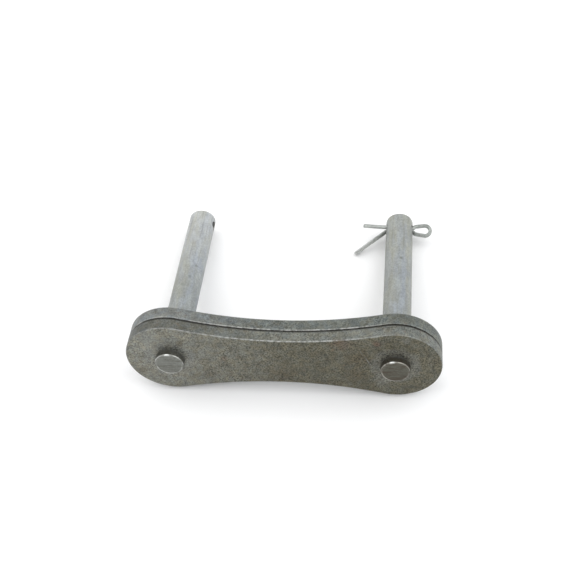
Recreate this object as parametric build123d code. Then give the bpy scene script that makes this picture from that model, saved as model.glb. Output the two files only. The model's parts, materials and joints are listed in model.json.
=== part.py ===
from build123d import *
import math
import os

# Connecting link of a long-pitch steel roller chain: a fixed plate with two pins pressed into it,
# a loose cover plate that slides on the pins, and one split cotter pin.
#
# Sizes are in millimetres, angles in degrees. The pieces are modelled in the link's own frame:
# X along the pitch line, Y along the pins away from their heads, Z up across the plates, with the
# origin on the fixed plate's outer face midway between the pins. They are then laid down as the
# link comes to rest, leaning on the cover plate's lower edge and the far ends of the pins.

# Plates
PITCH = 41.4                    # between the pin centres
PLATE_END_RADIUS = 8.4          # round ends, about the pin centres
PLATE_WAIST = 11.55             # height at mid-pitch
PLATE_THICKNESS = 2.65
PLATE_EDGE_ROUND = 0.3          # worn blanked edges
PLATE_GAP = 0.08                # left between the two plates when the cover is parked

# Pins
PIN_DIAMETER = 5.4
PIN_LENGTH = 40.0
HEAD_PROUD = 1.45               # how far a head stands out of the fixed plate
HEAD_RIM_ROUND = 0.4
PIN_END_ROUND = 0.4
PRESS_GAP = 0.005               # radial, in the fixed plate's holes
COVER_CLEARANCE = 0.08          # radial, in the cover plate's holes

# Cross holes for the cotter pins
COTTER_HOLE_DIAMETER = 2.0
COTTER_HOLE_TO_END = 2.2        # from the hole's centre to the pin's far end

# Cotter pin: half-round wire folded on its flat side
WIRE_RADIUS = 0.7               # of the half-round section
EYE_WIDTH = 2.9                 # outside, across the eye
EYE_REACH = 3.95                # from the pin's surface to the eye's crown
SHOULDER_STANDOFF = 0.65        # from the pin's surface to the eye's shoulder
SHOULDER_SPREAD = 0.5           # from the cotter's axis to the flat at the shoulder
SHOULDER_BEND_RADIUS = 0.5
THROAT_STANDOFF = 0.15          # from the pin's surface to where the wires part
THROAT_GAP = 0.04               # between the two flats at the throat
THROAT_BEND_RADIUS = 0.8
LEG_STANDOFF = 0.0              # from the pin's surface to where the legs splay
LEG_GAP = 0.24                  # between the two flats where the legs splay
LEG_BEND_RADIUS = 1.0
LONG_LEG = 8.1
LONG_LEG_SPLAY = 39
SHORT_LEG = 4.7
SHORT_LEG_SPLAY = 1
COTTER_TILT = 1.5               # eye end down, within the slack of the hole
TIP_FLOOR_GAP = 0.05            # between the long leg's tip and the ground

# Worked out from the sizes above
HALF_PITCH = PITCH / 2
PIN_RADIUS = PIN_DIAMETER / 2
PIN_END_Y = PIN_LENGTH - HEAD_PROUD
COTTER_HOLE_Y = PIN_END_Y - COTTER_HOLE_TO_END
COVER_FRONT_Y = PLATE_THICKNESS + PLATE_GAP
COVER_BACK_Y = COVER_FRONT_Y + PLATE_THICKNESS


def plate_outline():
    """Two round ends about the pin centres, joined by one tangent hollow arc on each side."""
    half_waist = PLATE_WAIST / 2
    narrowing = PLATE_END_RADIUS - half_waist
    hollow_radius = (HALF_PITCH**2 + half_waist**2 - PLATE_END_RADIUS**2) / (2 * narrowing)
    hollow_height = half_waist + hollow_radius
    # slope of the line from an end's centre to a hollow arc's centre, through their tangent point
    slope = math.degrees(math.atan2(hollow_height, HALF_PITCH))
    hollow_sweep = 180 - 2 * slope
    end_sweep = 360 - 2 * slope
    return make_face(
        [
            CenterArc((HALF_PITCH, 0), PLATE_END_RADIUS, slope - 180, end_sweep),
            CenterArc((0, hollow_height), hollow_radius, slope - 180, hollow_sweep),
            CenterArc((-HALF_PITCH, 0), PLATE_END_RADIUS, slope, end_sweep),
            CenterArc((0, -hollow_height), hollow_radius, slope, hollow_sweep),
        ]
    )


def link_plate(front_y, hole_clearance):
    """Waisted plate with a round hole at each end and rounded outer edges."""
    outline = plate_outline()
    for x in (-HALF_PITCH, HALF_PITCH):
        outline -= Pos(x, 0) * Circle(PIN_RADIUS + hole_clearance)
    blank = extrude(Plane.XZ.offset(-front_y) * outline, amount=-PLATE_THICKNESS)
    faces = blank.faces().filter_by(Axis.Y).sort_by(Axis.Y)
    rims = faces[0].outer_wire().edges() + faces[-1].outer_wire().edges()
    return fillet(rims, PLATE_EDGE_ROUND)


def link_pin(x):
    """Plain pin with a rounded head rim, a broken far edge and a cross hole along the pitch line."""
    section = Plane.XZ.offset(HEAD_PROUD) * Pos(x, 0) * Circle(PIN_RADIUS)
    shank = extrude(section, amount=-PIN_LENGTH)
    ends = shank.edges().filter_by(GeomType.CIRCLE).sort_by(Axis.Y)
    shank = fillet(ends[0], HEAD_RIM_ROUND)
    ends = shank.edges().filter_by(GeomType.CIRCLE).sort_by(Axis.Y)
    shank = fillet(ends[-1], PIN_END_ROUND)
    drill = Cylinder(COTTER_HOLE_DIAMETER / 2, 2 * PIN_DIAMETER, rotation=(0, 90, 0))
    return shank - Pos(x, COTTER_HOLE_Y, 0) * drill


def lean_angle():
    """How far the link leans back: the ground touches the cover's lower edge and the pin ends."""
    edge = Vector(COVER_BACK_Y - PLATE_EDGE_ROUND, PLATE_EDGE_ROUND - PLATE_END_RADIUS)
    tip = Vector(PIN_END_Y - PIN_END_ROUND, PIN_END_ROUND - PIN_RADIUS)
    span = tip - edge
    slope = math.atan2(span.Y, span.X)
    return slope - math.asin((PIN_END_ROUND - PLATE_EDGE_ROUND) / span.length)


def pin_axis_height(y):
    """Height of the pins' axis above the ground at a place along the pins."""
    lean = lean_angle()
    at_end_round = PIN_END_ROUND + (PIN_RADIUS - PIN_END_ROUND) * math.cos(lean)
    return at_end_round + (PIN_END_Y - PIN_END_ROUND - y) * math.sin(lean)


def leg_bend(side):
    """Where a leg splays, on its flat, in the plane of the folded wire."""
    return Vector(-PIN_RADIUS - LEG_STANDOFF, side * LEG_GAP / 2)


def leg_tip(side, leg, splay):
    """End of a leg, on its flat, in the plane of the folded wire."""
    return leg_bend(side) + Vector(-leg, 0).rotate(Axis.Z, -side * splay)


def cotter_location():
    """Seats the folded wire in its hole: X towards the eye, Y down towards the long leg's tip.

    The wire is turned about the hole until the long leg's tip meets the ground, and tilted in
    the hole with its eye end down.
    """
    hole_centre = Vector(HALF_PITCH, COTTER_HOLE_Y, 0)
    tip = leg_tip(1, LONG_LEG, LONG_LEG_SPLAY).rotate(Axis.Z, COTTER_TILT)
    fall = pin_axis_height(COTTER_HOLE_Y) - WIRE_RADIUS - TIP_FLOOR_GAP
    turn = math.asin(min(1.0, fall / tip.Y)) + lean_angle()
    wire_plane = Plane(hole_centre, x_dir=(1, 0, 0), z_dir=(0, math.sin(turn), -math.cos(turn)))
    return wire_plane.location * Rot(Z=COTTER_TILT)


def cotter_half(side, leg, splay):
    """Flat side of one half of the cotter, from the leg's tip to where the eye's round end starts."""
    crown_radius = EYE_WIDTH / 2 - WIRE_RADIUS
    crown = Vector(PIN_RADIUS + EYE_REACH - EYE_WIDTH / 2, 0)
    shoulder = Vector(PIN_RADIUS + SHOULDER_STANDOFF, side * SHOULDER_SPREAD)
    # the wire runs from the shoulder along the tangent to the eye's round end
    to_crown = crown - shoulder
    tangent = math.atan2(to_crown.Y, to_crown.X) + side * math.asin(crown_radius / to_crown.length)
    end = crown + Vector(-math.sin(tangent), math.cos(tangent)) * (side * crown_radius)
    return FilletPolyline(
        leg_tip(side, leg, splay),
        leg_bend(side),
        Vector(PIN_RADIUS + THROAT_STANDOFF, side * THROAT_GAP / 2),
        shoulder,
        end,
        radius=[LEG_BEND_RADIUS, THROAT_BEND_RADIUS, SHOULDER_BEND_RADIUS],
    )


def cotter_pin():
    """Half-round wire swept along its flat side: long leg, eye, short leg."""
    lower = cotter_half(1, LONG_LEG, LONG_LEG_SPLAY)
    upper = cotter_half(-1, SHORT_LEG, SHORT_LEG_SPLAY)
    crown = Vector(PIN_RADIUS + EYE_REACH - WIRE_RADIUS, 0)
    eye = ThreePointArc(lower @ 1, crown, upper @ 1)
    path = Wire(lower.edges() + eye.edges() + upper.edges())
    start = lower % 0
    outward = Vector(-start.Y, start.X)
    section_plane = Plane(lower @ 0, x_dir=outward, z_dir=start)
    half_round = Circle(WIRE_RADIUS) & Rectangle(
        WIRE_RADIUS, 2 * WIRE_RADIUS, align=(Align.MIN, Align.CENTER)
    )
    return cotter_location() * sweep(section_plane * half_round, path=path)


def link_pieces():
    """Every piece by its node name, in the link's own frame."""
    return {
        "fixed_plate": link_plate(0, PRESS_GAP),
        "cover_plate": link_plate(COVER_FRONT_Y, COVER_CLEARANCE),
        "left_pin": link_pin(-HALF_PITCH),
        "right_pin": link_pin(HALF_PITCH),
        "cotter_pin": cotter_pin(),
    }


def rest_location(pieces):
    """Leans the link back to rest, on the ground at Z 0 and centred front to back on the origin."""
    lean_back = Rot(X=-math.degrees(lean_angle()))
    box = Compound([lean_back * piece for piece in pieces.values()]).bounding_box()
    return Pos(0, -box.center().Y, -box.min.Z) * lean_back


def main():
    pieces = link_pieces()
    rest = rest_location(pieces)
    os.makedirs("parts", exist_ok=True)
    for name, piece in pieces.items():
        export_step(rest * piece, f"parts/{name}.step")


if __name__ == "__main__":
    main()
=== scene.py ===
import json
import logging
import math
from dataclasses import dataclass
from enum import Enum
from functools import reduce
from typing import Any, Callable, Dict, List, Optional, Sequence, Tuple, Union

import bmesh
import bpy
from mathutils import Matrix, Vector


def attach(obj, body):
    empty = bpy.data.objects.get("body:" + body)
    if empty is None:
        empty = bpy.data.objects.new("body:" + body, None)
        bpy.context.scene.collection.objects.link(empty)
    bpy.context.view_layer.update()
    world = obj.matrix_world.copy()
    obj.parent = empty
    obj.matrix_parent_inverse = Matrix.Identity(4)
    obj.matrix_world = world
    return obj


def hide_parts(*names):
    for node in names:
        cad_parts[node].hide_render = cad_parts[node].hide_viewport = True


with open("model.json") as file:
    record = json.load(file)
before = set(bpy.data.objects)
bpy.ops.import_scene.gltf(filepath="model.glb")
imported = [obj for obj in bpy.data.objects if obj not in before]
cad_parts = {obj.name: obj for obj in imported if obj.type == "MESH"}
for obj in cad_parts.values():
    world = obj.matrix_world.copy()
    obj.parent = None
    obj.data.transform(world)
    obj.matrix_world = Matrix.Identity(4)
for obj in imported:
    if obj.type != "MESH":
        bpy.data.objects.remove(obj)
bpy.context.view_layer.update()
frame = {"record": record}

LOG = logging.getLogger("chain_connecting_link")
MM = 0.001
HAIR = 1e-6

# Sizes that several pieces share, in metres. The cross holes' place is counted along the pins,
# from the fixed plate's outer face.
HALF_PITCH = 20.7 * MM
PLATE_THICKNESS = 2.65 * MM
PLATE_GAP = 0.08 * MM
PIN_RADIUS = 2.7 * MM
HOLE_AT = 36.35 * MM

Colour = Tuple[float, float, float, float]
Place = Tuple[float, float, float]
Socket = bpy.types.NodeSocket


class Kind(Enum):
    """What an edit-mode selection picks."""

    VERTICES = ("VERT", "verts")
    EDGES = ("EDGE", "edges")
    FACES = ("FACE", "faces")


class Body(Enum):
    """The two bodies of the link that move apart."""

    LINK = "link"
    COVER = "cover"


class Side(Enum):
    """Which end of the link a pin stands at."""

    LEFT = -1
    RIGHT = 1


# ---- the bench


class Bench:
    """One new mesh on the bench, shaped with operators in the link's own axes.

    The link's own axes have x along the pitch, y along the pins away from the riveted heads and
    z up the plates, with the origin at the middle of the fixed plate's outer face.
    """

    def __init__(self, name: str, add: Callable[..., Any], **size: Any) -> None:
        """Add a primitive alone, put its place in its mesh and open it for editing.

        Args:
            name: Name of the new piece.
            add: Operator that adds the primitive.
            **size: Sizes, place and turn that the operator takes.
        """
        bpy.ops.object.select_all(action="DESELECT")
        add(**size)
        bpy.ops.object.transform_apply(location=True, rotation=True, scale=True)
        self.piece = bpy.context.active_object
        self.piece.name = name
        self.piece.data.name = name
        bpy.ops.object.mode_set(mode="EDIT")
        bpy.ops.mesh.select_mode(type="VERT")
        bpy.ops.mesh.select_all(action="SELECT")

    def pick(self, kind: Kind, test: Callable[[Any], bool]) -> int:
        """Select the vertices, edges or faces that a test accepts, and nothing else.

        Args:
            kind: What is picked.
            test: Accepts or refuses one element.

        Returns:
            How many were selected.
        """
        bpy.ops.mesh.select_mode(type=kind.value[0])
        bpy.ops.mesh.select_all(action="DESELECT")
        mesh = bmesh.from_edit_mesh(self.piece.data)
        picked = [e for e in getattr(mesh, kind.value[1]) if test(e)]
        for element in picked:
            element.select_set(True)
        mesh.select_flush_mode()
        bmesh.update_edit_mesh(self.piece.data)
        return len(picked)

    def turn(self, centre: Sequence[float], axis: Sequence[float], angle: float, steps: int) -> None:
        """Sweep what is selected round an axis by the right-hand rule.

        Args:
            centre: A point on the axis.
            axis: Direction of the axis.
            angle: Angle of the sweep in radians.
            steps: Number of steps it is made in.
        """
        bpy.ops.mesh.spin(steps=steps, angle=-angle, center=centre, axis=axis)

    def run(self, along: Sequence[float]) -> None:
        """Extrude what is selected in a straight line."""
        bpy.ops.mesh.extrude_region_move(TRANSFORM_OT_translate={"value": along})

    def close(self) -> None:
        """Merge doubles, point every face outwards and leave edit mode."""
        bpy.ops.mesh.select_all(action="SELECT")
        bpy.ops.mesh.remove_doubles(threshold=HAIR)
        bpy.ops.mesh.normals_make_consistent(inside=False)
        bpy.ops.object.mode_set(mode="OBJECT")

    def modify(self, kind: str, **settings: Any) -> None:
        """Add a modifier and apply it.

        Args:
            kind: Type of the modifier.
            **settings: Its settings.
        """
        bpy.ops.object.modifier_add(type=kind)
        modifier = self.piece.modifiers[-1]
        for name, value in settings.items():
            setattr(modifier, name, value)
        bpy.ops.object.modifier_apply(modifier=modifier.name)

    def smooth(self, angle: float) -> None:
        """Shade smooth up to an angle, with the flat faces kept flat."""
        bpy.ops.object.shade_smooth_by_angle(angle=angle)
        self.modify("WEIGHTED_NORMAL", keep_sharp=True, weight=100)


@dataclass(frozen=True)
class LinkFrame:
    """Where the leaning link lies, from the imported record."""

    origin: Vector
    lean: float

    @classmethod
    def from_record(cls, record: Dict[str, Any]) -> "LinkFrame":
        """Read the fixed plate's outer face and the pins' direction.

        Args:
            record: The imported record.

        Returns:
            The link's own axes in the row frame.
        """
        face = next(m for m in record["mounts"] if m["name"] == "fixed_outer_face")
        pins = record["behaviour"]["joints"][0]["axis"]
        return cls(Vector(face["pos_m"]), math.atan2(pins[2], pins[1]))

    @property
    def matrix(self) -> Matrix:
        """The move from the link's own axes to the row frame."""
        return Matrix.Translation(self.origin) @ Matrix.Rotation(self.lean, 4, "X")

    def height(self, along: float) -> float:
        """Height of the pins' axis above the ground at a distance along the pins."""
        return self.origin.z + along * math.sin(self.lean)

    def settle(self, piece: bpy.types.Object, local: Matrix = Matrix.Identity(4)) -> None:
        """Put a finished piece where it lies, with its place in its mesh.

        Args:
            piece: The piece, modelled in its own axes.
            local: The piece's place in the link's own axes.
        """
        bpy.ops.object.select_all(action="DESELECT")
        piece.select_set(True)
        bpy.context.view_layer.objects.active = piece
        piece.matrix_world = self.matrix @ local
        bpy.ops.object.transform_apply(location=True, rotation=True, scale=True)


# ---- the finishes


@dataclass(frozen=True)
class Ramp:
    """A smooth change from a first level at its start to a last level at its end."""

    start: float
    end: float
    first: float = 0.0
    last: float = 1.0


@dataclass(frozen=True)
class Noise:
    """A cloudy pattern, in patches per millimetre.

    A shift makes it differ from another, a cut ramps its values, and a stretch and a slant in
    radians about the pins' direction make it run one way.
    """

    scale: float
    detail: float
    rough: float
    shift: float = 0.0
    cut: Optional[Ramp] = None
    stretch: Optional[Place] = None
    slant: float = 0.0


@dataclass(frozen=True)
class Stain:
    """A stain or a rubbed patch, in millimetres, with its edge frayed by a share of its reach.

    On a plate's outer face it lies at x along the pitch and z up the plate, from the middle. On a
    pin, x is counted from the pin's axis and z is the place along the pin.
    """

    x: float
    z: float
    reach: float
    share: float
    colour: Colour
    fray: float = 1.2


class NodeBench:
    """Builds one procedural metal on the link's own axes in millimetres."""

    def __init__(self, name: str, link: LinkFrame, shift: float = 0.0) -> None:
        """Start a material with one principled shader.

        Args:
            name: Name of the material.
            link: The link's own axes, which every pattern follows.
            shift: Offset that makes its noises differ from those of a like piece.
        """
        self.material = bpy.data.materials.new(name)
        self.material.use_nodes = True
        self.tree = self.material.node_tree
        self.shader = self.tree.nodes["Principled BSDF"]
        self.shift = shift
        texture = self.node("TexCoord", {})
        lie = {"Location": link.origin, "Rotation": (link.lean, 0, 0), "Scale": (MM, MM, MM)}
        mapping = self.node("Mapping", {"Vector": texture.outputs["Object"], **lie}, vector_type="TEXTURE")
        self.place = mapping.outputs["Vector"]
        self.x, self.y, self.z = self.split(self.place)
        pins = link.matrix.to_3x3() @ Vector((0, 1, 0))
        self.toward = self.vector("DOT_PRODUCT", {0: texture.outputs["Normal"], 1: pins}, "Value")
        self.facing = self.sum("ABSOLUTE", self.toward)

    def node(self, kind: str, feeds: Dict[Any, Any], **settings: Any) -> bpy.types.Node:
        """Add a node with its settings and feed its inputs.

        Args:
            kind: Type of the node.
            feeds: Sockets and plain values, by the name or number of the input.
            **settings: The node's own settings.

        Returns:
            The node.
        """
        made = self.tree.nodes.new("ShaderNode" + kind)
        for name, value in settings.items():
            setattr(made, name, value)
        self.feed(made, feeds)
        return made

    def feed(self, node: bpy.types.Node, feeds: Dict[Any, Any]) -> None:
        """Link a node's inputs, or set them where plain values are given.

        Args:
            node: The node.
            feeds: Sockets and plain values, by the name or number of the input.
        """
        for name, value in feeds.items():
            if isinstance(value, Socket):
                self.tree.links.new(value, node.inputs[name])
            else:
                node.inputs[name].default_value = value

    def split(self, where: Socket) -> Tuple[Socket, ...]:
        """The three numbers of a coordinate."""
        return tuple(self.node("SeparateXYZ", {0: where}).outputs)

    def vector(self, operation: str, feeds: Dict[Any, Any], result: str = "Vector") -> Socket:
        """Work out a vector, or a number of it where the result says so."""
        return self.node("VectorMath", feeds, operation=operation).outputs[result]

    def sum(self, operation: str, *values: Any, clamp: bool = False) -> Socket:
        """Work out a number from sockets and plain numbers, kept from 0 to 1 where clamped."""
        return self.node("Math", dict(enumerate(values)), operation=operation, use_clamp=clamp).outputs[0]

    def times(self, *values: Any) -> Socket:
        """The product of sockets and plain numbers, taken in order."""
        return reduce(lambda product, value: self.sum("MULTIPLY", product, value), values)

    def minus(self, value: Any, less: Any) -> Socket:
        """One number less another."""
        return self.sum("SUBTRACT", value, less)

    def stir(self, value: Any, noise: Any, depth: Any) -> Socket:
        """A number with a noise added, the noise times a depth."""
        return self.sum("MULTIPLY_ADD", noise, depth, value)

    def away(self, value: Any, centre: float) -> Socket:
        """How far a number is from another."""
        return self.sum("ABSOLUTE", self.minus(value, centre))

    def ramp(self, value: Any, ramp: Ramp) -> Socket:
        """Change smoothly from a ramp's first level to its last, as a number goes over it."""
        feeds = {"From Min": ramp.start, "From Max": ramp.end, "To Min": ramp.first, "To Max": ramp.last}
        return self.node("MapRange", {"Value": value, **feeds}, interpolation_type="SMOOTHSTEP").outputs[0]

    def level(self, value: Any, low: float, high: float) -> Socket:
        """Stretch a number between 0 and 1 to between low and high."""
        return self.node("MapRange", {"Value": value, "To Min": low, "To Max": high}).outputs[0]

    def slanted(self, stretch: Place, slant: float) -> Socket:
        """The link's axes turned about the pins' direction and then stretched."""
        turned = self.node("VectorRotate", {"Vector": self.place, "Angle": slant}, rotation_type="Y_AXIS")
        return self.vector("MULTIPLY", {0: turned.outputs["Vector"], 1: stretch})

    def noise(self, noise: Noise) -> Socket:
        """Lay a cloudy noise.

        Args:
            noise: Its settings.

        Returns:
            The noise between 0 and 1, or between the levels of its cut.
        """
        feeds = {"W": self.shift + noise.shift, "Scale": noise.scale}
        feeds.update({"Detail": noise.detail, "Roughness": noise.rough})
        where = self.slanted(noise.stretch, noise.slant) if noise.stretch else self.place
        cloud = self.node("TexNoise", {"Vector": where, **feeds}, noise_dimensions="4D").outputs["Fac"]
        return self.ramp(cloud, noise.cut) if noise.cut else cloud

    def mix(self, share: Any, first: Any, second: Any, blend: str = "MIX") -> Socket:
        """Lay a share of a second colour over a first, each a socket or a plain colour."""
        feeds = {0: share, 6: first, 7: second}
        return self.node("Mix", feeds, data_type="RGBA", blend_type=blend).outputs[2]

    def lighten(self, colour: Any, value: Any, depth: float) -> Socket:
        """Make a colour lighter and darker with a noise, by a depth either way."""
        return self.vector("SCALE", {0: colour, "Scale": self.level(value, 1 - depth, 1 + depth)})

    def rounded_edge(self) -> Socket:
        """A number that is 1 in the middle of a rounded edge and falls to 0 on flats and walls."""
        return self.sum("MULTIPLY", self.times(self.facing, self.minus(1.0, self.facing)), 4.0, clamp=True)

    def from_point(self, x: float, z: float, across: Any = None, up: Any = None) -> Socket:
        """Distance from x and z of the place along the pitch and up, or of the numbers given."""
        apart = self.node("CombineXYZ", {0: self.away(across or self.x, x), 2: self.away(up or self.z, z)})
        return self.vector("LENGTH", {0: apart.outputs[0]}, "Value")

    def stain(self, colour: Any, stain: Stain, ragged: Any, mask: Any, rim: Ramp, *where: Any) -> Socket:
        """Lay a stain over a colour.

        Args:
            colour: The colour under it.
            stain: The stain.
            ragged: The noise that frays its edge.
            mask: Share of the surface that takes it.
            rim: Where it starts and is full, in shares of its reach.
            *where: What its x and z are compared with, as for from_point.

        Returns:
            The stained colour.
        """
        away = self.stir(self.from_point(stain.x, stain.z, *where), ragged, stain.fray * stain.reach)
        spot = self.ramp(away, Ramp(rim.start * stain.reach, rim.end * stain.reach))
        return self.mix(self.times(spot, mask, stain.share), colour, stain.colour)

    def bump(self, height: Any, depth: float, under: Optional[Socket] = None) -> Socket:
        """The normal of a surface raised to a depth in millimetres, over another bump if given."""
        feeds = {"Distance": depth * MM, "Height": height, **({"Normal": under} if under else {})}
        return self.node("Bump", feeds).outputs["Normal"]

    def finish(self, colour: Any, rough: Any, normal: Any, metallic: float) -> bpy.types.Material:
        """Feed the shader and hand over the material.

        Args:
            colour: The base colour.
            rough: The roughness.
            normal: The bumped normal.
            metallic: How much of a metal it is.

        Returns:
            The material.
        """
        feeds = {"Base Color": colour, "Roughness": rough, "Normal": normal, "Metallic": metallic}
        self.feed(self.shader, feeds)
        return self.material


@dataclass(frozen=True)
class Scratches:
    """A short bundle of slanting scratches, with its place counted across and along its slant."""

    across: float = 15.02
    along: float = -3.46
    width: Ramp = Ramp(1.00, 0.50)
    length: Ramp = Ramp(2.9, 1.4)
    lines: Noise = Noise(1.0, 1, 0.5, 19, None, (3.0, 1.0, 0.16), 0.371)
    bright: Ramp = Ramp(0.50, 0.58, 0.0, 0.70)
    dark: Ramp = Ramp(0.48, 0.40, 0.0, 0.60)

    def lay(self, sheet: NodeBench, colour: Any, mask: Any, tones: Sequence[Colour]) -> Socket:
        """Lay the scratches over a colour.

        Args:
            sheet: The material that is built.
            colour: The colour under them.
            mask: Share of the surface that takes them.
            tones: The bright lines' colour and the dark lines' colour.

        Returns:
            The scratched colour.
        """
        across, _, along = sheet.split(sheet.slanted((1.0, 1.0, 1.0), self.lines.slant))
        width = sheet.ramp(sheet.away(across, self.across), self.width)
        length = sheet.ramp(sheet.away(along, self.along), self.length)
        patch = sheet.times(width, length, mask)
        lines = sheet.noise(self.lines)
        for depth, tone in zip((self.bright, self.dark), tones):
            colour = sheet.mix(sheet.times(sheet.ramp(lines, depth), patch), colour, tone)
        return colour


@dataclass(frozen=True)
class PlateSteel:
    """Punched and tumbled plate steel under a thin film of oil.

    Its ramps run over millimetres of the link's own axes, the gap's being counted from the gap.
    Those named for a flat, a wall or the front run over how squarely the surface faces along the
    pins, and the stains' rim is in shares of their reach.
    """

    name: str
    shift: float = 0.0
    stains: Tuple[Stain, ...] = ()
    scratches: Optional[Scratches] = None
    slot: str = "plate_steel"
    pin_at: float = HALF_PITCH / MM
    gap_at: float = (PLATE_THICKNESS + PLATE_GAP / 2) / MM
    face_left: Colour = (0.208, 0.209, 0.183, 1)
    face_right: Colour = (0.120, 0.116, 0.089, 1)
    edge_left: Colour = (0.117, 0.121, 0.110, 1)
    edge_right: Colour = (0.166, 0.173, 0.156, 1)
    brown: Colour = (0.085, 0.072, 0.046, 1)
    rust: Colour = (0.150, 0.088, 0.062, 1)
    ring: Colour = (0.200, 0.204, 0.190, 1)
    # pale colour of the rims: partly rubbed-bare steel, partly a painted highlight
    edge_highlight_and_wear: Colour = (0.480, 0.485, 0.470, 1)
    # painted shade in the gap between the plates
    gap_shade: Colour = (0.030, 0.028, 0.024, 1)
    warm: Colour = (1.032, 1.0, 0.938, 1)
    cool: Colour = (0.977, 1.0, 1.026, 1)
    metallic: float = 0.9
    rough: Tuple[float, float] = (0.44, 0.60)
    worn_polish: float = 0.12
    film_noise: Noise = Noise(0.14, 4, 0.6)
    film_drift: float = 24.0
    film_run: Ramp = Ramp(-16.0, 20.0)
    edge_to_flat: Ramp = Ramp(0.55, 0.95)
    clouds: Noise = Noise(0.55, 5, 0.65, 2, Ramp(0.36, 0.64))
    cloud_depth: float = 0.15
    hues: Noise = Noise(0.8, 2, 0.5, 29, Ramp(0.38, 0.62))
    browns: Noise = Noise(0.42, 5, 0.7, 3, Ramp(0.52, 0.70, 0.0, 0.46))
    freckles: Noise = Noise(1.1, 3, 0.6, 7, Ramp(0.60, 0.74, 0.0, 0.34))
    outer_face: Ramp = Ramp(0.5, 0.1)
    blur: Noise = Noise(0.8, 3, 0.6, 5)
    ring_blur: float = 1.6
    ring_reach: Ramp = Ramp(5.9, 4.9)
    ring_share: float = 0.35
    stain_rim: Ramp = Ramp(1.5, 0.5)
    fine: Noise = Noise(3.2, 4, 0.85, 11, Ramp(0.33, 0.67))
    grain_depth: float = 0.66
    coarse: Noise = Noise(0.25, 2, 0.5, 31, Ramp(0.40, 0.60, 0.72, 1.10))
    coarse_on_flat: Ramp = Ramp(0.5, 0.9, 0.62, 1.0)
    coarse_from_left: Ramp = Ramp(-18.0, -7.0, 0.95, 1.38)
    # where the painted shade in the gap lies, counted from the gap
    gap_shade_below: Ramp = Ramp(-0.54, -0.28)
    gap_shade_above: Ramp = Ramp(0.18, 0.06)
    gap_shade_on_flat: Ramp = Ramp(0.9, 0.99, 0.92, 0.25)
    # spread of the pale rims: partly wear, partly a painted highlight
    worn_line: float = 1.6
    broken: Noise = Noise(1.3, 3, 0.6, 13, Ramp(0.39, 0.60, 0.18, 0.96))
    worn_from_left: Ramp = Ramp(-26.0, -4.0, 0.50, 1.0)
    worn_from_right: Ramp = Ramp(21.0, 12.0, 0.2, 1.0)
    worn_in_front: Ramp = Ramp(0.2, -0.2, 0.25, 0.85)
    cut_wall: Ramp = Ramp(0.5, 0.1)
    shear: Noise = Noise(1.0, 3, 0.6, 23, None, (4.0, 0.5, 4.0))
    shear_depth: float = 0.030
    pits: Noise = Noise(5.0, 3, 0.6, 17)
    pit_depth: float = 0.012
    grain_height: float = 0.022

    def material(self, link: LinkFrame) -> bpy.types.Material:
        """Make the plate's material.

        Args:
            link: The link's own axes.

        Returns:
            The material.
        """
        sheet = NodeBench(self.name, link, self.shift)
        colour = self.mottle(sheet, self.ground(sheet))
        flat = sheet.ramp(sheet.facing, self.coarse_on_flat)
        coarse = sheet.times(sheet.noise(self.coarse), flat, sheet.ramp(sheet.x, self.coarse_from_left))
        grain = sheet.stir(0.5, sheet.minus(sheet.noise(self.fine), 0.5), coarse)
        colour = sheet.lighten(colour, grain, self.grain_depth)
        # painted shade in the gap: darkens both plates' rims where they face each other
        from_gap = sheet.minus(sheet.y, self.gap_at)
        in_gap = sheet.times(sheet.ramp(from_gap, self.gap_shade_below), sheet.ramp(from_gap, self.gap_shade_above))
        gap_shade = sheet.times(in_gap, sheet.ramp(sheet.facing, self.gap_shade_on_flat))
        colour = sheet.mix(gap_shade, colour, self.gap_shade)
        # edge wear together with a painted highlight along the rims
        rub_and_highlight = self.rub_and_highlight(sheet)
        colour = sheet.mix(rub_and_highlight, colour, self.edge_highlight_and_wear)
        rough = sheet.level(grain, *self.rough)
        rough = sheet.minus(rough, sheet.times(rub_and_highlight, self.worn_polish))
        return sheet.finish(colour, rough, self.relief(sheet, grain), self.metallic)

    def ground(self, sheet: NodeBench) -> Socket:
        """Lay the even tone of the faces and edges, which darkens from one end to the other.

        Args:
            sheet: The material that is built.

        Returns:
            The even tone.
        """
        film = sheet.ramp(sheet.stir(sheet.x, sheet.noise(self.film_noise), self.film_drift), self.film_run)
        face = sheet.mix(film, self.face_left, self.face_right)
        edge = sheet.mix(film, self.edge_left, self.edge_right)
        return sheet.mix(sheet.ramp(sheet.facing, self.edge_to_flat), edge, face)

    def mottle(self, sheet: NodeBench, colour: Any) -> Socket:
        """Lay clouds, brown stains, rust freckles, pressed rings and the named stains over a tone.

        Args:
            sheet: The material that is built.
            colour: The even tone.

        Returns:
            The mottled colour.
        """
        colour = sheet.lighten(colour, sheet.noise(self.clouds), self.cloud_depth)
        colour = sheet.mix(1.0, colour, sheet.mix(sheet.noise(self.hues), self.cool, self.warm), "MULTIPLY")
        colour = sheet.mix(sheet.noise(self.browns), colour, self.brown)
        colour = sheet.mix(sheet.noise(self.freckles), colour, self.rust)
        outside = sheet.ramp(sheet.y, self.outer_face)
        blur = sheet.noise(self.blur)
        from_pin = sheet.from_point(self.pin_at, 0.0, sheet.sum("ABSOLUTE", sheet.x))
        ring = sheet.ramp(sheet.stir(from_pin, blur, self.ring_blur), self.ring_reach)
        colour = sheet.mix(sheet.times(ring, outside, self.ring_share), colour, self.ring)
        for stain in self.stains:
            colour = sheet.stain(colour, stain, blur, outside, self.stain_rim)
        if self.scratches:
            colour = self.scratches.lay(sheet, colour, outside, (self.ring, self.brown))
        return colour

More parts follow.
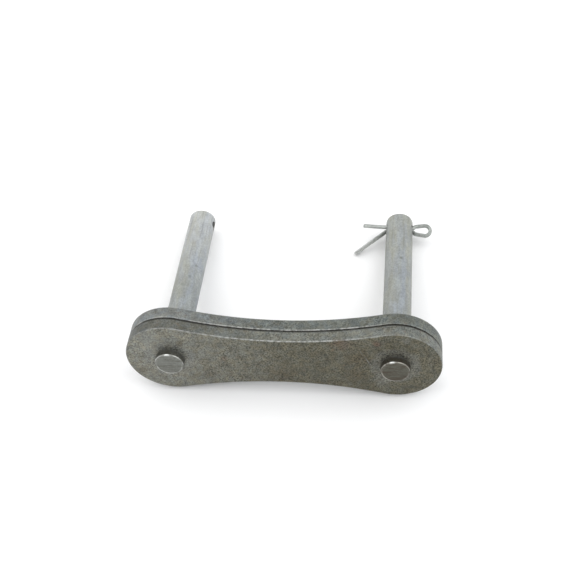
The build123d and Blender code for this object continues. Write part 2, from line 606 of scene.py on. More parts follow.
    def rub_and_highlight(self, sheet: NodeBench) -> Socket:
        """Lighten the outward edges in broken lines, most at the darker end: partly rubbed-bare wear,
        partly a painted highlight.

        Args:
            sheet: The material that is built.

        Returns:
            How far they are lightened.
        """
        line = sheet.sum("POWER", sheet.rounded_edge(), self.worn_line)
        left, right = (sheet.ramp(sheet.x, end) for end in (self.worn_from_left, self.worn_from_right))
        front = sheet.ramp(sheet.toward, self.worn_in_front)
        return sheet.times(line, sheet.noise(self.broken), sheet.times(left, right), front)

    def relief(self, sheet: NodeBench, grain: Any) -> Socket:
        """Raise the surface's grain and pits, and the shear marks that run through the cut edges.

        Args:
            sheet: The material that is built.
            grain: The surface's grain.

        Returns:
            The bumped normal.
        """
        shear = sheet.times(sheet.noise(self.shear), sheet.ramp(sheet.facing, self.cut_wall))
        pits = sheet.bump(sheet.noise(self.pits), self.pit_depth, sheet.bump(shear, self.shear_depth))
        return sheet.bump(grain, self.grain_height, pits)


@dataclass(frozen=True)
class PinSteel:
    """Drawn pin steel with faint lines along it and a cut and riveted end.

    Its ramps run over millimetres, along the pin from the fixed plate's outer face or across it
    from its axis. Those named for a cut or for streaks run over a noise, those named for a wall
    or a face over how squarely the surface faces along the pin, and the marks' rim is in shares
    of their reach.
    """

    name: str
    at: float
    shift: float = 0.0
    marks: Tuple[Stain, ...] = ()
    slot: str = "pin_steel"
    hole_at: float = HOLE_AT / MM
    shaft: Colour = (0.324, 0.335, 0.320, 1)
    cool: Colour = (0.985, 1.025, 1.130, 1)
    dull: Colour = (0.240, 0.242, 0.215, 1)
    # lighter far end: painted light
    painted_end_light: Colour = (0.350, 0.360, 0.340, 1)
    head: Colour = (0.204, 0.210, 0.192, 1)
    head_lines: Colour = (0.145, 0.145, 0.125, 1)
    # painted shade at the head's root and inside the cross hole
    painted_shade: Colour = (0.085, 0.078, 0.064, 1)
    edge_highlight_and_wear: Colour = (0.600, 0.605, 0.580, 1)
    # colour of the painted glint on the head's rim
    bright: Colour = (0.860, 0.880, 0.855, 1)
    warm: Colour = (1.015, 1.007, 0.962, 1)
    lilac: Colour = (0.988, 0.999, 1.027, 1)
    metallic: float = 0.95
    streaks: Noise = Noise(1.0, 3, 0.6, 0, None, (2.2, 0.10, 2.2))
    streak_height: float = 0.010
    dull_streaks: Ramp = Ramp(0.48, 0.72, 0.0, 0.42)
    mottle: Noise = Noise(0.8, 4, 0.6, 5, None, (1.0, 0.45, 1.0))
    mottle_cut: Ramp = Ramp(0.36, 0.64)
    mottle_depth: float = 0.09
    hues: Noise = Noise(0.8, 3, 0.6, 29, Ramp(0.40, 0.60), (1.0, 0.25, 1.0))
    to_far_end: Ramp = Ramp(12.0, 36.0)
    paler_end: Ramp = Ramp(34.8, 36.2, 0.5, 1.0)
    paler_depth: float = 0.05
    cool_drift: float = 3.0
    cool_from: Ramp = Ramp(0.9, 2.9)
    cool_to: Ramp = Ramp(9.0, 8.0)
    cool_along: Ramp = Ramp(34.0, 20.0, 0.25, 0.8)
    upper_side: Ramp = Ramp(0.0, 1.0)
    mark_rim: Ramp = Ramp(1.8, 0.8)
    brushed: Noise = Noise(1.0, 2, 0.6, 9, None, (0.35, 1.0, 5.0))
    brushed_cut: Ramp = Ramp(0.4, 0.66)
    brushed_height: float = 0.008
    to_head: Ramp = Ramp(0.4, -0.4)
    # where the painted shade at the root and in the cross hole lies
    root_at: Ramp = Ramp(0.3, -0.2)
    root_wall: Ramp = Ramp(0.4, 0.05, 0.0, 0.36)
    hole_shade: Ramp = Ramp(1.14, 1.02, 0.0, 0.75)
    grain: Noise = Noise(3.2, 2, 0.6, 11, Ramp(0.25, 0.75))
    grain_depth: float = 0.13
    grain_height: float = 0.008
    broken: Noise = Noise(1.6, 3, 0.6, 13, Ramp(0.36, 0.60, 0.25, 1.0))
    worn_line: float = 5.0
    # the turned line and its spread: partly wear, partly a painted highlight
    turned_rim: Ramp = Ramp(2.20, 2.38)
    turned_face: Ramp = Ramp(-0.8, -0.9)
    lower_half_highlight: Ramp = Ramp(0.8, -1.2, 0.10, 0.75)
    highlight_aside: Ramp = Ramp(1.4, -0.4, 0.55, 1.0)
    # where the painted glint sits and how wide it is
    bright_at: float = -0.06
    bright_up: float = 2.42
    bright_reach: Ramp = Ramp(0.60, 0.24)
    bright_rim: Ramp = Ramp(-0.9, -1.1)
    bright_line: float = 2.0
    rough: Tuple[float, float] = (0.54, 0.68)
    worn_polish: float = 0.12
    rim_polish: float = 0.30
    polished_rim: Ramp = Ramp(-0.5, -0.9)

    def material(self, link: LinkFrame) -> bpy.types.Material:
        """Make the pin's material.

        Args:
            link: The link's own axes.

        Returns:
            The material.
        """
        bar = NodeBench(self.name, link, self.shift)
        streaks, mottle, brushed = map(bar.noise, (self.streaks, self.mottle, self.brushed))
        colour = self.shank(bar, streaks, mottle)
        colour = self.ends(bar, colour, brushed)
        grain = bar.noise(self.grain)
        colour = bar.lighten(colour, grain, self.grain_depth)
        # rims lightened: partly rubbed wear, partly a painted highlight
        worn = bar.sum("POWER", bar.rounded_edge(), self.worn_line)
        rub_and_highlight = self.rub_and_highlight(bar, worn)
        colour = bar.mix(rub_and_highlight, colour, self.edge_highlight_and_wear)
        # painted highlight: the glint on the head's rim
        colour = bar.mix(self.glint(bar), colour, self.bright)
        rough = bar.level(mottle, *self.rough)
        rough = bar.minus(rough, bar.times(rub_and_highlight, self.worn_polish))
        rough = bar.minus(rough, bar.times(worn, bar.ramp(bar.y, self.polished_rim), self.rim_polish))
        normal = bar.bump(streaks, self.streak_height, bar.bump(brushed, self.brushed_height))
        return bar.finish(colour, rough, bar.bump(grain, self.grain_height, normal), self.metallic)

    def shank(self, bar: NodeBench, streaks: Any, mottle: Any) -> Socket:
        """Lay the tones of the drawn bar: painted light towards its far end, its bluish side, its dull
        streaks and its dark marks.

        Args:
            bar: The material that is built.
            streaks: The lines along the bar.
            mottle: The clouds along the bar.

        Returns:
            The shank's colour.
        """
        # painted light: the bar turns lighter towards its far end
        colour = bar.mix(bar.ramp(bar.y, self.to_far_end), self.shaft, self.painted_end_light)
        colour = bar.lighten(colour, bar.ramp(bar.y, self.paler_end), self.paler_depth)
        from_axis = bar.minus(bar.x, self.at)
        across = bar.stir(from_axis, mottle, self.cool_drift)
        cool = bar.times(bar.ramp(across, self.cool_from), bar.ramp(across, self.cool_to))
        cool = bar.times(cool, bar.ramp(bar.y, self.cool_along))
        colour = bar.mix(cool, colour, self.cool, "MULTIPLY")
        colour = bar.mix(bar.ramp(streaks, self.dull_streaks), colour, self.dull)
        colour = bar.lighten(colour, bar.ramp(mottle, self.mottle_cut), self.mottle_depth)
        colour = bar.mix(1.0, colour, bar.mix(bar.noise(self.hues), self.lilac, self.warm), "MULTIPLY")
        above = bar.ramp(bar.z, self.upper_side)
        for mark in self.marks:
            colour = bar.stain(colour, mark, mottle, above, self.mark_rim, from_axis, bar.y)
        return colour

    def ends(self, bar: NodeBench, colour: Any, brushed: Any) -> Socket:
        """Lay the brushed head, a painted shade at its root and a painted shade in the cross hole.

        Args:
            bar: The material that is built.
            colour: The shank's colour.
            brushed: The lines across the head.

        Returns:
            The colour of the whole pin.
        """
        head = bar.mix(bar.ramp(brushed, self.brushed_cut), self.head, self.head_lines)
        colour = bar.mix(bar.ramp(bar.y, self.to_head), colour, head)
        # painted shade where the head's wall meets the plate, and inside the cross hole
        painted_shade = bar.times(bar.ramp(bar.y, self.root_at), bar.ramp(bar.facing, self.root_wall))
        colour = bar.mix(painted_shade, colour, self.painted_shade)
        hole_shade = bar.ramp(bar.from_point(self.hole_at, 0.0, bar.y), self.hole_shade)
        return bar.mix(hole_shade, colour, self.painted_shade)

    def rub_and_highlight(self, bar: NodeBench, worn: Any) -> Socket:
        """Lighten the ends' rims, with a turned line inside the head's rim: partly rubbed wear, partly a
        painted highlight, made stronger on the head's lower half and weaker on its right side.

        Args:
            bar: The material that is built.
            worn: The middle of the rounded rims.

        Returns:
            How far they are lightened.
        """
        turned = bar.ramp(bar.from_point(self.at, 0.0), self.turned_rim)
        # painted highlight: the turned line is stronger on the head's lower half, and the rims are weaker
        # towards the right
        turned = bar.times(turned, bar.ramp(bar.toward, self.turned_face), bar.ramp(bar.z, self.lower_half_highlight))
        aside = bar.ramp(bar.minus(bar.x, self.at), self.highlight_aside)
        return bar.times(bar.sum("MAXIMUM", worn, turned), bar.noise(self.broken), aside)

    def glint(self, bar: NodeBench) -> Socket:
        """Paint a small glint near the top of the head's rim: a painted highlight.

        Args:
            bar: The material that is built.

        Returns:
            Share of the spot.
        """
        spot = bar.ramp(bar.from_point(self.at + self.bright_at, self.bright_up), self.bright_reach)
        line = bar.sum("POWER", bar.rounded_edge(), self.bright_line)
        return bar.times(spot, bar.ramp(bar.y, self.bright_rim), line)


@dataclass(frozen=True)
class CotterWire:
    """Dull zinc-grey half-round wire, paler on the long leg's front, a painted light, and darker on the
    eye's upper half.
    """

    name: str
    slot: str = "cotter_wire"
    grey: Colour = (0.440, 0.457, 0.438, 1)
    dark: Colour = (0.262, 0.277, 0.258, 1)
    # painted light on the long leg's front
    pale_rub_and_painted_light: Colour = (0.660, 0.665, 0.655, 1)
    metallic: float = 0.9
    patches: Noise = Noise(1.3, 3, 0.5)
    patch_cut: Ramp = Ramp(0.38, 0.72)
    leg_across: Ramp = Ramp(18.6, 17.4)
    leg_down: Ramp = Ramp(-0.3, -1.3)
    leg_front: Ramp = Ramp(0.25, -0.15)
    leg_share: float = 0.60
    eye_across: Ramp = Ramp(23.4, 24.4)
    eye_up: Ramp = Ramp(-0.2, 0.4)
    eye_share: float = 0.55
    grain: Noise = Noise(5.0, 2, 0.6, 3)
    grain_cut: Ramp = Ramp(0.35, 0.65)
    grain_depth: float = 0.22
    grain_height: float = 0.012
    rough: Tuple[float, float] = (0.36, 0.54)

    def material(self, link: LinkFrame) -> bpy.types.Material:
        """Make the wire's material.

        Args:
            link: The link's own axes.

        Returns:
            The material.
        """
        wire = NodeBench(self.name, link)
        patches = wire.noise(self.patches)
        colour = wire.mix(wire.ramp(patches, self.patch_cut), self.grey, self.dark)
        # painted light: the long leg's front is made paler
        leg = wire.times(wire.ramp(wire.x, self.leg_across), wire.ramp(wire.z, self.leg_down))
        leg = wire.times(leg, wire.ramp(wire.toward, self.leg_front), self.leg_share)
        colour = wire.mix(leg, colour, self.pale_rub_and_painted_light)
        eye = wire.times(wire.ramp(wire.x, self.eye_across), wire.ramp(wire.z, self.eye_up), self.eye_share)
        colour = wire.mix(eye, colour, self.dark)
        grain = wire.noise(self.grain)
        colour = wire.lighten(colour, wire.ramp(grain, self.grain_cut), self.grain_depth)
        normal = wire.bump(grain, self.grain_height)
        return wire.finish(colour, wire.level(patches, *self.rough), normal, self.metallic)


Finish = Union[PlateSteel, PinSteel, CotterWire]


@dataclass(frozen=True)
class FloorPaint:
    """Matt pale paint of the floor."""

    name: str = "pale_floor"
    colour: Colour = (0.94, 0.94, 0.94, 1)
    roughness: float = 0.9

    def material(self) -> bpy.types.Material:
        """Make the floor's material.

        Returns:
            The material.
        """
        made = bpy.data.materials.new(self.name)
        made.use_nodes = True
        shader = made.node_tree.nodes["Principled BSDF"]
        shader.inputs["Base Color"].default_value = self.colour
        shader.inputs["Roughness"].default_value = self.roughness
        return made


# ---- the link


@dataclass
class LinkPiece:
    """A piece of the link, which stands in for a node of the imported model."""

    name: str
    node: str
    body: Body
    finish: Finish

    def build(self) -> bpy.types.Object:
        """Make the piece in its own axes."""
        raise NotImplementedError

    def seat(self, link: LinkFrame) -> Matrix:
        """The piece's place in the link's own axes."""
        return Matrix.Identity(4)

    def dress(self, link: LinkFrame) -> bpy.types.Object:
        """Build the piece, put it in place and finish it.

        Args:
            link: Where the link lies.

        Returns:
            The finished piece.
        """
        piece = self.build()
        link.settle(piece, self.seat(link))
        piece.data.materials.append(self.finish.material(link))
        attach(piece, self.body.value)
        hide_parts(self.node)
        return piece


@dataclass
class LinkPlate(LinkPiece):
    """A waisted link plate: round ends joined by hollow sides, with two pin holes."""

    front: float
    clearance: float
    half_pitch: float = HALF_PITCH
    end_radius: float = 8.4 * MM
    waist: float = 11.55 * MM
    thickness: float = PLATE_THICKNESS
    edge_round: float = 0.3 * MM
    pin_radius: float = PIN_RADIUS
    rings: Tuple[float, ...] = (4.9 * MM, 4.5 * MM, 4.1 * MM, 3.3 * MM)
    pressed: float = 0.0
    hollow_steps: int = 26
    end_steps: int = 116
    middle_cuts: int = 15
    face_cuts: int = 3
    edge_steps: int = 6
    wall_facing: float = 0.1
    flat_facing: float = 0.9
    smooth_angle: float = math.radians(40)

    def hollow(self) -> Tuple[float, float]:
        """Work out a hollow side, tangent to the round ends.

        Returns:
            Its radius and the angle it turns through from the middle to a round end.
        """
        half = self.waist / 2
        radius = (self.half_pitch**2 + half**2 - self.end_radius**2) / (2 * (self.end_radius - half))
        return radius, math.atan2(self.half_pitch, radius + half)

    def outline(self) -> Bench:
        """Draw the right half's outline as one closed loop.

        Returns:
            The bench with the outline on it.
        """
        radius, angle = self.hollow()
        half = self.waist / 2
        bench = Bench(self.name, bpy.ops.mesh.primitive_plane_add, size=MM, location=(0, self.front, -half))
        bpy.ops.mesh.merge(type="CENTER")
        bench.turn((0, self.front, -half - radius), (0, 1, 0), angle, self.hollow_steps)
        bench.turn((self.half_pitch, self.front, 0), (0, -1, 0), math.pi + 2 * angle, self.end_steps)
        bench.turn((0, self.front, half + radius), (0, 1, 0), angle, self.hollow_steps)
        bench.pick(Kind.VERTICES, lambda v: abs(v.co.x) < HAIR)
        bpy.ops.mesh.edge_face_add()
        bench.pick(Kind.EDGES, lambda e: all(abs(v.co.x) < HAIR for v in e.verts))
        bpy.ops.mesh.subdivide(number_cuts=self.middle_cuts)
        return bench

    def lay_face(self, bench: Bench) -> None:
        """Lay the flat face from the outline in to the pin hole, in rings round the pin.

        Args:
            bench: The half outline on the bench.
        """
        centre = (self.half_pitch, self.front, 0)
        bench.pick(Kind.EDGES, lambda e: True)
        bpy.ops.mesh.extrude_edges_move()
        bpy.ops.transform.tosphere(value=1.0, center_override=centre)
        inner = next(v for v in bmesh.from_edit_mesh(bench.piece.data).verts if v.select)
        radius = self.round_pin(inner)
        for step, narrower in enumerate((*self.rings, self.pin_radius + self.clearance)):
            if step > 0:
                bpy.ops.mesh.extrude_edges_move()
            share = narrower / radius
            bpy.ops.transform.resize(value=(share, 1, share), center_override=centre)
            radius = narrower
        ring = self.rings[0] + HAIR
        bench.pick(Kind.EDGES, lambda e: len({self.round_pin(v) > ring for v in e.verts}) == 2)
        bpy.ops.mesh.subdivide_edgering(number_cuts=self.face_cuts, interpolation="LINEAR")

    def build(self) -> bpy.types.Object:
        """Make the plate from its half outline.

        Returns:
            The plate in the link's own axes.
        """
        bench = self.outline()
        self.lay_face(bench)
        bpy.ops.object.mode_set(mode="OBJECT")
        bench.modify("MIRROR", use_axis=(True, False, False), merge_threshold=HAIR)
        bpy.ops.object.mode_set(mode="EDIT")
        bpy.ops.mesh.select_all(action="SELECT")
        bench.run((0, self.thickness, 0))
        bpy.ops.mesh.select_all(action="SELECT")
        bpy.ops.mesh.normals_make_consistent(inside=False)
        bench.pick(Kind.EDGES, lambda e: self.is_rim(e) and self.round_pin(e.verts[0]) > self.rings[0])
        bpy.ops.mesh.bevel(offset=self.edge_round, segments=self.edge_steps, affect="EDGES")
        if self.pressed > 0:
            edge = self.rings[1] + HAIR
            bench.pick(Kind.VERTICES, lambda v: v.co.y < self.front + HAIR and self.round_pin(v) < edge)
            bpy.ops.transform.translate(value=(0, self.pressed, 0))
        bench.close()
        bench.smooth(self.smooth_angle)
        return bench.piece

    def round_pin(self, vertex: bmesh.types.BMVert) -> float:
        """Distance of a vertex from the nearer pin's axis."""
        return math.hypot(abs(vertex.co.x) - self.half_pitch, vertex.co.z)

    def is_rim(self, edge: bmesh.types.BMEdge) -> bool:
        """Whether a flat face and a wall meet at an edge."""
        facing = sorted(abs(f.normal.y) for f in edge.link_faces)
        return len(facing) == 2 and facing[0] < self.wall_facing and facing[1] > self.flat_facing


@dataclass
class LinkPin(LinkPiece):
    """A round pin with a riveted head, a cross hole for the split pin and rounded ends."""

    side: Side
    half_pitch: float = HALF_PITCH
    radius: float = PIN_RADIUS
    head: float = 1.45 * MM
    end: float = 38.55 * MM
    rim_round: float = 0.4 * MM
    rim_steps: int = 8
    end_facing: float = 0.999
    end_insets: Tuple[float, float] = (0.25 * MM, 0.9 * MM)
    hole_radius: float = 1.0 * MM
    hole_at: float = HOLE_AT
    hole_rim: float = 0.08 * MM
    hole_rim_steps: int = 2
    hole_belt: float = 1.5 * MM
    flats: int = 144
    hole_flats: int = 64
    on_surface: float = 0.02 * MM
    smooth_angle: float = math.radians(35)

    @property
    def x(self) -> float:
        """Where the pin stands along the pitch."""
        return self.side.value * self.half_pitch

    def build(self) -> bpy.types.Object:
        """Make the pin.

        Returns:
            The pin in the link's own axes.
        """
        length = self.end + self.head
        bench = Bench(
            self.name,
            bpy.ops.mesh.primitive_cylinder_add,
            vertices=self.flats,
            radius=self.radius,
            depth=length,
            location=(self.x, self.end - length / 2, 0),
            rotation=(math.pi / 2, 0, 0),
        )
        bench.pick(Kind.EDGES, self.is_end_rim)
        bpy.ops.mesh.bevel(offset=self.rim_round, segments=self.rim_steps, affect="EDGES")
        bench.pick(Kind.FACES, lambda f: abs(f.normal.y) > self.end_facing)
        for width in self.end_insets:
            bpy.ops.mesh.inset(thickness=width)
        for reach in (-self.hole_belt, self.hole_belt):
            bpy.ops.mesh.select_all(action="SELECT")
            at = (self.x, self.hole_at + reach, 0)
            bpy.ops.mesh.bisect(plane_co=at, plane_no=(0, 1, 0), threshold=HAIR)
        bench.close()
        self.drill(bench)
        bench.smooth(self.smooth_angle)
        return bench.piece

    def is_end_rim(self, edge: bmesh.types.BMEdge) -> bool:
        """Whether an edge goes round either end of the bar."""
        return len(edge.link_faces) == 2 and any(len(f.verts) > 4 for f in edge.link_faces)

    def drill(self, bench: Bench) -> None:
        """Cut the cross hole and break its edge.

        Args:
            bench: The pin on the bench.
        """
        pin = bench.piece
        drill = Bench(
            "drill",
            bpy.ops.mesh.primitive_cylinder_add,
            vertices=self.hole_flats,
            radius=self.hole_radius,
            depth=4 * self.radius,
            location=(self.x, self.hole_at, 0),
            rotation=(0, math.pi / 2, 0),
        )
        bpy.ops.object.mode_set(mode="OBJECT")
        bpy.ops.object.select_all(action="DESELECT")
        pin.select_set(True)
        bpy.context.view_layer.objects.active = pin
        bench.modify("BOOLEAN", object=drill.piece, operation="DIFFERENCE", solver="EXACT")
        bpy.data.objects.remove(drill.piece)
        bpy.ops.object.mode_set(mode="EDIT")
        bench.pick(Kind.EDGES, self.is_hole_rim)
        bpy.ops.mesh.bevel(offset=self.hole_rim, segments=self.hole_rim_steps, affect="EDGES")
        bench.close()

    def is_hole_rim(self, edge: bmesh.types.BMEdge) -> bool:
        """Whether an edge is where the cross hole comes out of the bar.

        Args:
            edge: The edge.

        Returns:
            True where both its ends lie on the bar and on the hole.
        """
        off_bar = [math.hypot(v.co.x - self.x, v.co.z) - self.radius for v in edge.verts]
        off_hole = [math.hypot(v.co.y - self.hole_at, v.co.z) - self.hole_radius for v in edge.verts]
        return all(abs(gap) < self.on_surface for gap in off_bar + off_hole)


@dataclass(frozen=True)
class Leg:
    """One leg of the split pin, on the side of the wire's plane that 1 or -1 says."""

    side: int
    length: float
    splay: float


@dataclass
class SplitPin(LinkPiece):
    """A split pin bent from half-round wire: an eye, a throat, and two spread legs.

    It is bent in its own plane, with x from the hole towards the eye and the hole's middle as
    the origin, and then seated in the right pin's cross hole.
    """

    half_pitch: float = HALF_PITCH
    pin_radius: float = PIN_RADIUS
    hole_at: float = HOLE_AT
    wire_radius: float = 0.7 * MM
    eye_width: float = 2.9 * MM
    eye_reach: float = 3.95 * MM
    shoulder_standoff: float = 0.65 * MM
    shoulder_spread: float = 0.5 * MM
    shoulder_bend: float = 0.5 * MM
    throat_standoff: float = 0.15 * MM
    throat_gap: float = 0.04 * MM
    throat_bend: float = 0.8 * MM
    leg_gap: float = 0.24 * MM
    leg_bend: float = 1.0 * MM
    tilt: float = math.radians(1.5)
    tip_floor_gap: float = 0.05 * MM
    corner_round: float = 0.07 * MM
    tip_round: float = 0.12 * MM
    long_leg: Leg = Leg(1, 8.1 * MM, math.radians(39))
    short_leg: Leg = Leg(-1, 4.7 * MM, math.radians(1))
    section_flats: int = 48
    corner_steps: int = 4
    eye_steps: int = 36
    bend_steps: int = 6
    bend_step: float = math.radians(5)
    smooth_angle: float = math.radians(40)

    @property
    def bow(self) -> float:
        """Radius of the eye's inner face."""
        return self.eye_width / 2 - self.wire_radius

    @property
    def crown(self) -> Vector:
        """Middle of the eye."""
        return Vector((self.pin_radius + self.eye_reach - self.eye_width / 2, 0, 0))

    def tip(self, leg: Leg) -> Vector:
        """Where a leg ends, on its flat face.

        Args:
            leg: The leg.

        Returns:
            The tip in the wire's own plane.
        """
        bend = Vector((-self.pin_radius, leg.side * self.leg_gap / 2, 0))
        reach = Vector((-leg.length, 0, 0))
        return bend + Matrix.Rotation(-leg.side * leg.splay, 3, "Z") @ reach

    def corners(self, leg: Leg) -> List[Tuple[Vector, float]]:
        """The corners of one half, from the eye to the tip, with the radius each is bent to.

        Args:
            leg: Which half.

        Returns:
            Corner points and radii; the first and the last have none.
        """
        shoulder = Vector((self.pin_radius + self.shoulder_standoff, leg.side * self.shoulder_spread, 0))
        to_crown = self.crown - shoulder
        tangent = math.atan2(to_crown.y, to_crown.x) + leg.side * math.asin(self.bow / to_crown.length)
        off_eye = self.crown + Vector((-math.sin(tangent), math.cos(tangent), 0)) * leg.side * self.bow
        throat = Vector((self.pin_radius + self.throat_standoff, leg.side * self.throat_gap / 2, 0))
        bend = Vector((-self.pin_radius, leg.side * self.leg_gap / 2, 0))
        return [
            (off_eye, 0.0),
            (shoulder, self.shoulder_bend),
            (throat, self.throat_bend),
            (bend, self.leg_bend),
            (self.tip(leg), 0.0),
        ]

    def profile(self) -> Bench:
        """Draw the half-round section at the far side of the eye, with its corners softened.

        Returns:
            The bench with the section's loop on it.
        """
        at = self.crown + Vector((self.bow, 0, 0))
        bench = Bench(
            self.name,
            bpy.ops.mesh.primitive_circle_add,
            vertices=self.section_flats,
            radius=self.wire_radius,
            fill_type="NGON",
            location=at,
            rotation=(math.pi / 2, 0, 0),
        )
        bpy.ops.mesh.bisect(plane_co=at, plane_no=(1, 0, 0), clear_inner=True, threshold=HAIR)
        bench.pick(Kind.VERTICES, lambda v: abs(v.co.x - at.x) < HAIR)
        bpy.ops.mesh.bevel(offset=self.corner_round, segments=self.corner_steps, affect="VERTICES")
        bpy.ops.mesh.select_all(action="SELECT")
        bpy.ops.mesh.delete(type="ONLY_FACE")
        return bench

    def bend_half(self, bench: Bench, leg: Leg) -> None:
        """Sweep the section from the far side of the eye to the end of one leg.

        Args:
            bench: The wire on the bench.
            leg: Which half.
        """
        up = Vector((0, 0, 1))
        corners = self.corners(leg)
        off_eye = corners[0][0] - self.crown
        sweep = math.atan2(off_eye.y, off_eye.x)
        bench.turn(self.crown, up, sweep, self.eye_steps)
        at = corners[0][0]
        for (point, radius), (after, _) in zip(corners[1:], corners[2:]):
            along = (point - at).normalized()
            onward = (after - point).normalized()
            angle = math.atan2(along.cross(onward).z, along.dot(onward))
            set_back = radius * math.tan(abs(angle) / 2)
            start = point - along * set_back
            bench.run(start - at)
            centre = start + up.cross(along) * math.copysign(radius, angle)
            bench.turn(centre, up, angle, max(self.bend_steps, round(abs(angle) / self.bend_step)))
            at = point + onward * set_back
        bench.run(corners[-1][0] - at)

    def build(self) -> bpy.types.Object:
        """Bend the wire.

        Returns:
            The split pin in its own plane.
        """
        bench = self.profile()
        outer = self.crown.x + self.bow - HAIR
        for leg in (self.long_leg, self.short_leg):
            bench.pick(Kind.EDGES, lambda e: all(abs(v.co.y) < HAIR and v.co.x > outer for v in e.verts))
            self.bend_half(bench, leg)
            bpy.ops.mesh.edge_face_add()
            bpy.ops.mesh.inset(thickness=self.tip_round)
        bench.close()
        bench.smooth(self.smooth_angle)
        return bench.piece

    def seat(self, link: LinkFrame) -> Matrix:
        """Where it sits: through the cross hole, turned until the long leg's tip nears the ground.

        Args:
            link: Where the link lies.

        Returns:
            The seat in the link's own axes.
        """
        tip = Matrix.Rotation(self.tilt, 3, "Z") @ self.tip(self.long_leg)
        fall = link.height(self.hole_at) - self.wire_radius - self.tip_floor_gap
        turn = math.asin(min(1.0, fall / tip.y)) - link.lean
        up = Vector((0, math.sin(turn), -math.cos(turn)))
        right = Vector((1, 0, 0))
        axes = Matrix((right, up.cross(right), up)).transposed().to_4x4()
        hole = Matrix.Translation((self.half_pitch, self.hole_at, 0))
        return hole @ axes @ Matrix.Rotation(self.tilt, 4, "Z")


# ---- the studio


@dataclass(frozen=True)
class SoftBox:
    """A square soft light aimed at the link."""

    name: str
    place: Place
    size: float
    power: float
    tint: Tuple[float, float, float] = (1.0, 1.0, 1.0)

    def add(self, aim: Vector) -> bpy.types.Object:
        """Hang the light and aim it.

        Args:
            aim: The point it looks at.

        Returns:
            The light.
        """
        bpy.ops.object.select_all(action="DESELECT")
        bpy.ops.object.light_add(type="AREA", location=self.place)
        lamp = bpy.context.active_object
        lamp.name = self.name
        lamp.rotation_euler = (aim - Vector(self.place)).to_track_quat("-Z", "Y").to_euler()
        lamp.data.size = self.size
        lamp.data.energy = self.power
        lamp.data.color = self.tint
        return lamp


@dataclass
class Studio:
    """A pale floor, a bright even room and soft lights."""

    floor_size: float = 3.0
    room: Colour = (0.985, 0.99, 1.0, 1)
    room_strength: float = 1.0
    lights: Tuple[SoftBox, ...] = (
        SoftBox("key_light", (-0.34, 0.24, 0.50), 0.60, 1.0, (1.0, 0.99, 0.97)),
        SoftBox("fill_light", (0.42, 0.04, 0.45), 0.60, 1.45, (0.98, 0.99, 1.0)),
        SoftBox("glint_light", (-0.317, -0.196, 0.370), 0.05, 0.15),
    )

    def build(self, aim: Vector) -> None:
        """Lay the floor, light the room and hang the lights.

        Args:
            aim: The point that the lights look at.
        """
        bpy.ops.object.select_all(action="DESELECT")
        bpy.ops.mesh.primitive_plane_add(size=self.floor_size, location=(0, 0, 0))
        floor = bpy.context.active_object
        floor.name = "floor"
        floor.data.materials.append(FloorPaint().material())
        world = bpy.data.worlds.new("room")
        world.use_nodes = True
        light = world.node_tree.nodes["Background"]
        light.inputs["Color"].default_value = self.room
        light.inputs["Strength"].default_value = self.room_strength
        bpy.context.scene.world = world
        for box in self.lights:
            box.add(aim)
        bpy.context.scene.view_settings.view_transform = "Standard"


@dataclass(frozen=True)
class ViewCamera:
    """The camera, by where it aims and from where it looks."""

    aim: Vector = Vector((-0.0001159, -0.0002596, 0.0060397))
    distance: float = 0.191470
    heading: float = math.radians(11.373)
    elevation: float = math.radians(55.458)
    roll: float = math.radians(-7.981)
    lens: float = 60.691
    sensor: float = 36.0
    near: float = 0.005

    def add(self) -> bpy.types.Object:
        """Put up the camera and look through it.

        Returns:
            The camera.
        """
        flat = math.cos(self.elevation)
        towards = Vector(
            (flat * math.sin(self.heading), -flat * math.cos(self.heading), math.sin(self.elevation))
        )
        level = Vector((0, 0, 1)).cross(towards).normalized()
        right = Matrix.Rotation(self.roll, 3, towards) @ level
        axes = Matrix((right, towards.cross(right), towards)).transposed().to_4x4()
        bpy.ops.object.select_all(action="DESELECT")
        bpy.ops.object.camera_add()
        camera = bpy.context.active_object
        camera.name = "view_camera"
        camera.matrix_world = Matrix.Translation(self.aim + towards * self.distance) @ axes
        camera.data.lens = self.lens
        camera.data.sensor_width = self.sensor
        camera.data.clip_start = self.near
        bpy.context.scene.camera = camera
        return camera


def report(piece: bpy.types.Object) -> None:
    """Log a piece's faces and its box in millimetres.

    Args:
        piece: The finished piece.
    """
    axes = list(zip(*(v.co / MM for v in piece.data.vertices)))
    low, high = ([round(end(axis), 3) for axis in axes] for end in (min, max))
    LOG.info("%s: %d faces, from %s to %s mm", piece.name, len(piece.data.polygons), low, high)


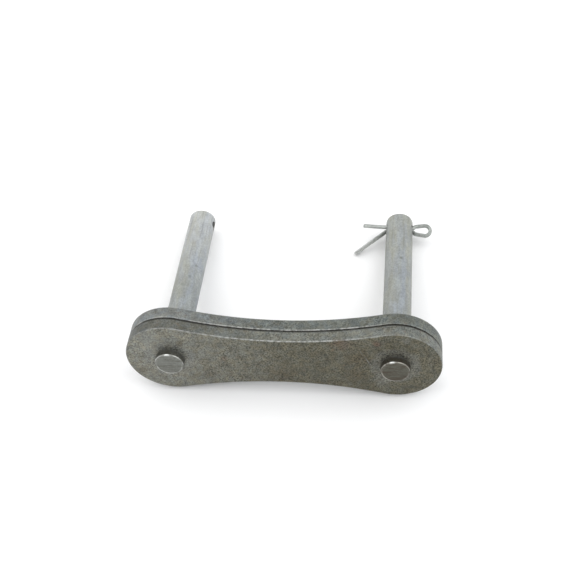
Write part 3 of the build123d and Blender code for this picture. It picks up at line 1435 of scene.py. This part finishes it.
def outer_face_stains() -> Tuple[Stain, ...]:
    """Place the stains and rubbed patches of the fixed plate's outer face.

    Returns:
        The stains.
    """
    brown: Colour = (0.085, 0.068, 0.042, 1)
    red: Colour = (0.150, 0.082, 0.062, 1)
    cool: Colour = (0.200, 0.212, 0.205, 1)
    pale_rub_and_painted_light: Colour = (0.290, 0.295, 0.275, 1)
    return (
        Stain(13.9, 1.6, 3.8, 0.62, brown),
        Stain(13.8, -2.8, 3.4, 0.58, brown),
        Stain(17.4, 6.0, 1.3, 0.45, red),
        Stain(11.0, 5.8, 3.0, 0.32, red),
        Stain(6.8, 2.8, 1.6, 0.25, brown),
        Stain(-13.6, -3.7, 2.6, 0.40, brown),
        Stain(-10.6, 0.6, 1.2, 0.30, red),
        Stain(-16.6, 1.5, 1.6, 0.35, cool),
        Stain(-18.5, 4.6, 1.2, 0.30, brown),
        Stain(-6.2, -4.2, 2.0, 0.25, brown),
        Stain(-0.4, -3.4, 4.4, 0.45, brown),
        Stain(-27.2, -4.0, 3.4, 0.45, brown),
        Stain(18.2, -4.4, 2.8, 0.32, pale_rub_and_painted_light),
        Stain(-22.2, -3.3, 2.8, 0.34, pale_rub_and_painted_light),
        Stain(-16.8, -0.6, 2.2, 0.25, pale_rub_and_painted_light),
        Stain(-24.6, 6.0, 1.8, 0.35, pale_rub_and_painted_light),
        Stain(22.6, 7.0, 1.6, 0.25, pale_rub_and_painted_light),
    )


def pin_steels() -> Tuple[PinSteel, PinSteel]:
    """Choose the pins' steels, each with its dark marks and the right one with a darker head.

    Returns:
        The left pin's steel and the right pin's.
    """
    dark: Colour = (0.105, 0.118, 0.100, 1)
    left_marks = (
        Stain(1.57, 22.3, 0.40, 0.36, dark),
        Stain(0.80, 19.1, 0.48, 0.34, dark),
        Stain(-0.17, 16.7, 0.60, 0.30, dark),
    )
    # the left pin's far end is painted much lighter: painted light
    left = PinSteel("left_pin_steel", -HALF_PITCH / MM, marks=left_marks, painted_end_light=(0.445, 0.455, 0.445, 1))
    right = PinSteel(
        "right_pin_steel",
        HALF_PITCH / MM,
        shift=20.0,
        marks=(Stain(0.52, 25.4, 0.46, 0.52, dark),),
        head=(0.118, 0.117, 0.096, 1),
        head_lines=(0.085, 0.070, 0.053, 1),
        edge_highlight_and_wear=(0.460, 0.445, 0.405, 1),
        bright_at=-0.58,
        cool_from=Ramp(0.2, 1.8),
        cool_to=Ramp(3.6, 2.6),
    )
    return left, right


def link_pieces() -> List[LinkPiece]:
    """Lay out the link's five pieces, each with its finish.

    Returns:
        The pieces, yet to be built.
    """
    front = PlateSteel("front_plate_steel", stains=outer_face_stains(), scratches=Scratches())
    edge_left, edge_right = (0.190, 0.202, 0.201, 1), (0.140, 0.152, 0.141, 1)
    sliding = PlateSteel("sliding_plate_steel", 40.0, edge_left=edge_left, edge_right=edge_right)
    left, right = pin_steels()
    press_fit, slide_fit, pressed = 0.005 * MM, 0.08 * MM, 0.03 * MM
    behind = PLATE_THICKNESS + PLATE_GAP
    return [
        LinkPlate("front_plate", "fixed_plate", Body.LINK, front, 0.0, press_fit, pressed=pressed),
        LinkPlate("sliding_plate", "cover_plate", Body.COVER, sliding, behind, slide_fit),
        LinkPin("riveted_pin_left", "left_pin", Body.LINK, left, Side.LEFT),
        LinkPin("riveted_pin_right", "right_pin", Body.LINK, right, Side.RIGHT),
        SplitPin("split_pin", "cotter_pin", Body.LINK, CotterWire("split_pin_wire")),
    ]


def main() -> None:
    """Build the link, the studio and the camera."""
    logging.basicConfig(level=logging.INFO, format="%(name)s: %(message)s")
    link = LinkFrame.from_record(frame["record"])
    for part in link_pieces():
        report(part.dress(link))
    camera = ViewCamera()
    Studio().build(camera.aim)
    camera.add()


if __name__ == "__main__":
    main()
